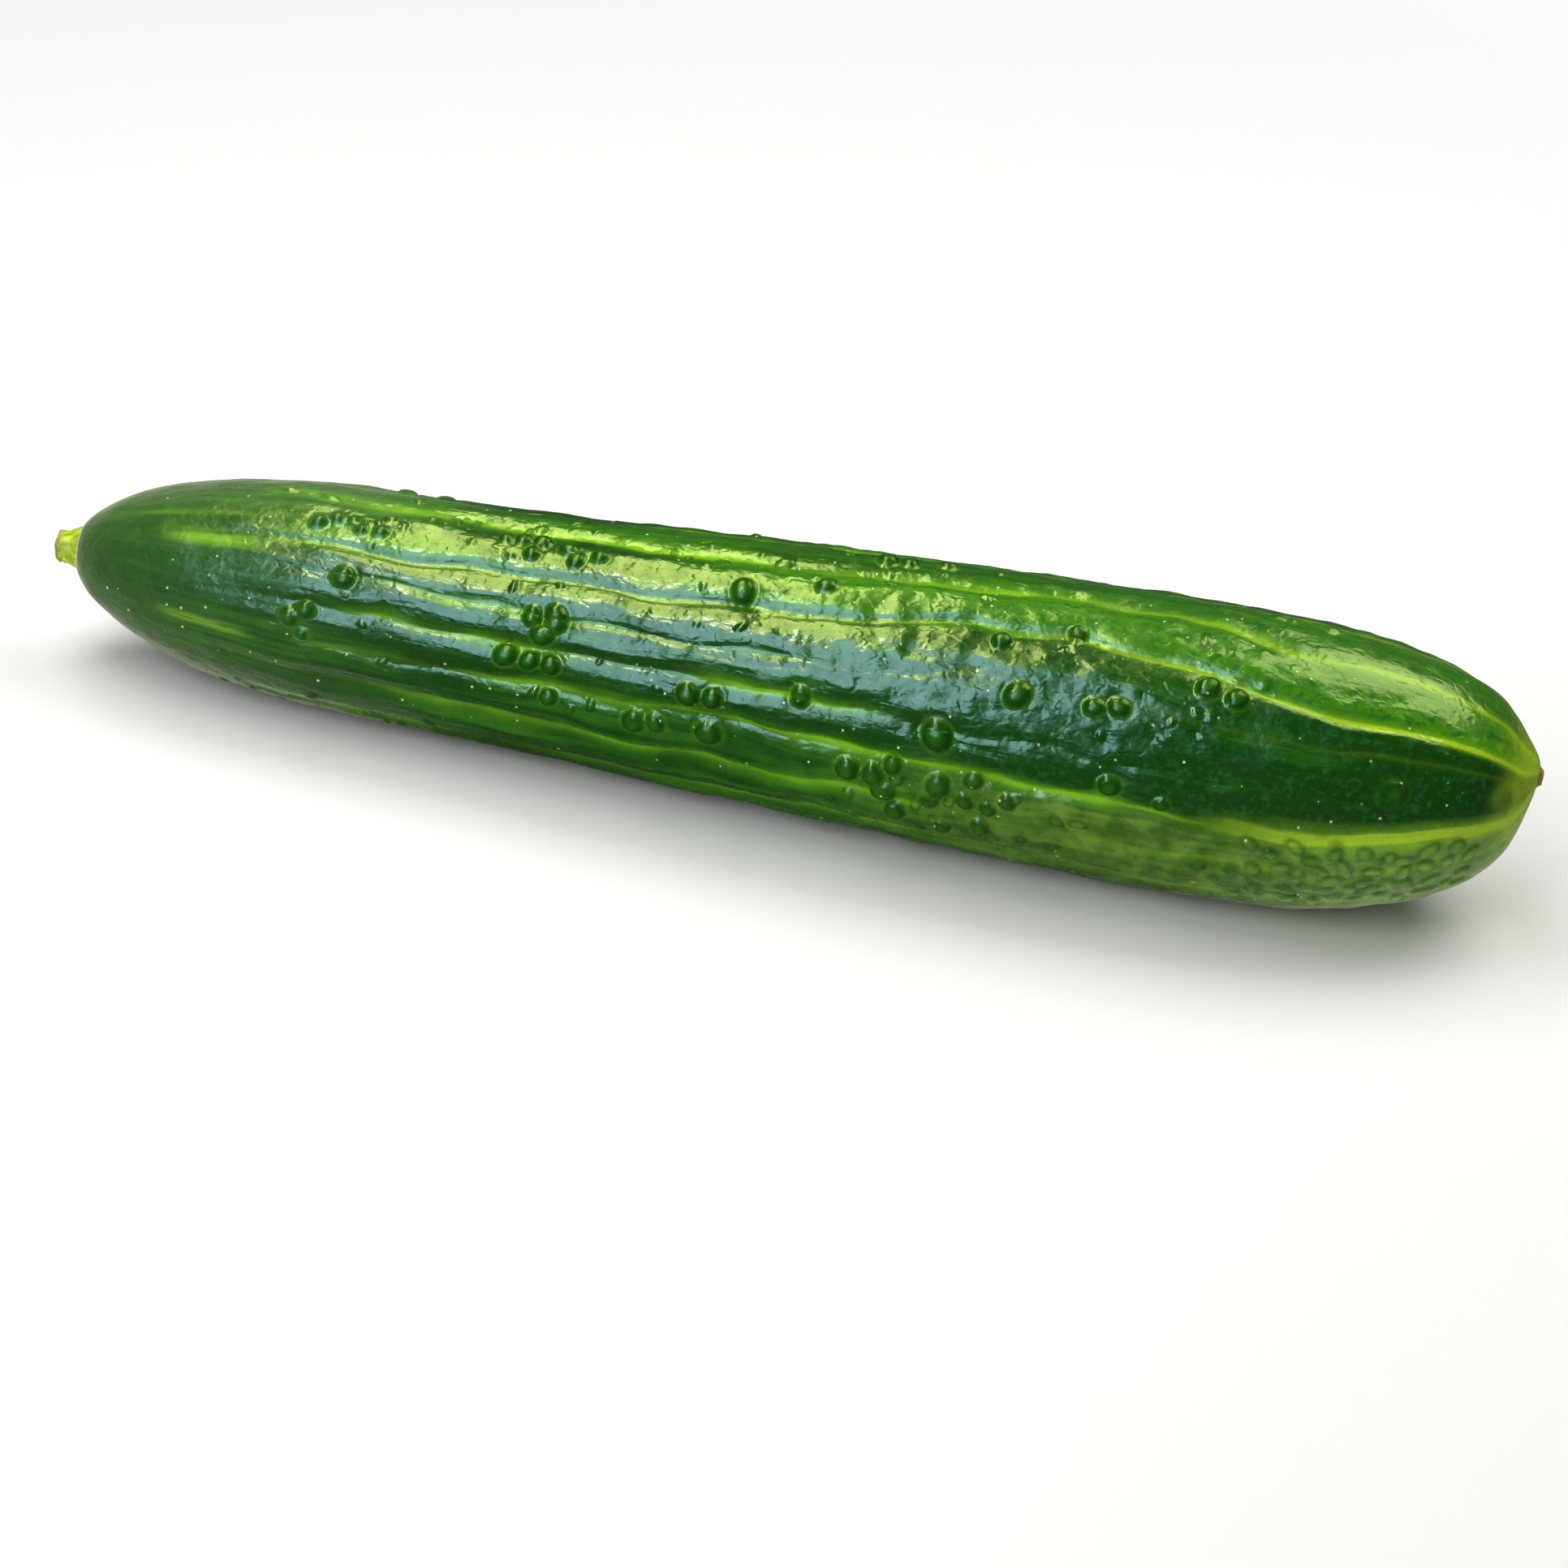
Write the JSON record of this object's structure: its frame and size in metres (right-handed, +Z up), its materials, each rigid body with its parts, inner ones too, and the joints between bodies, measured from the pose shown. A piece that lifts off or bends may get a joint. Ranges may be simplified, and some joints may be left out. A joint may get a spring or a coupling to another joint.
{
  "type": "cucumber",
  "caption": "Whole fresh cucumber lying on its side, gently bent and ribbed, warty and glossy green, with a cut stalk stub and a dry flower scar.",
  "frame": {"origin": "on the surface that the cucumber lies on, under the middle of its bounding box", "axes": "+X along the fruit, from the stalk end to the flower end; +Z up"},
  "size_m": [0.2553, 0.0502, 0.0484],
  "materials": {
    "skin": "waxy, semi-gloss",
    "stalk": "fibrous, satin",
    "scar": "dry, matt"
  },
  "bodies": {
    "root": {"fruit": "skin", "stalk_stub": "stalk", "flower_scar": "scar"}
  },
  "joints": []
}
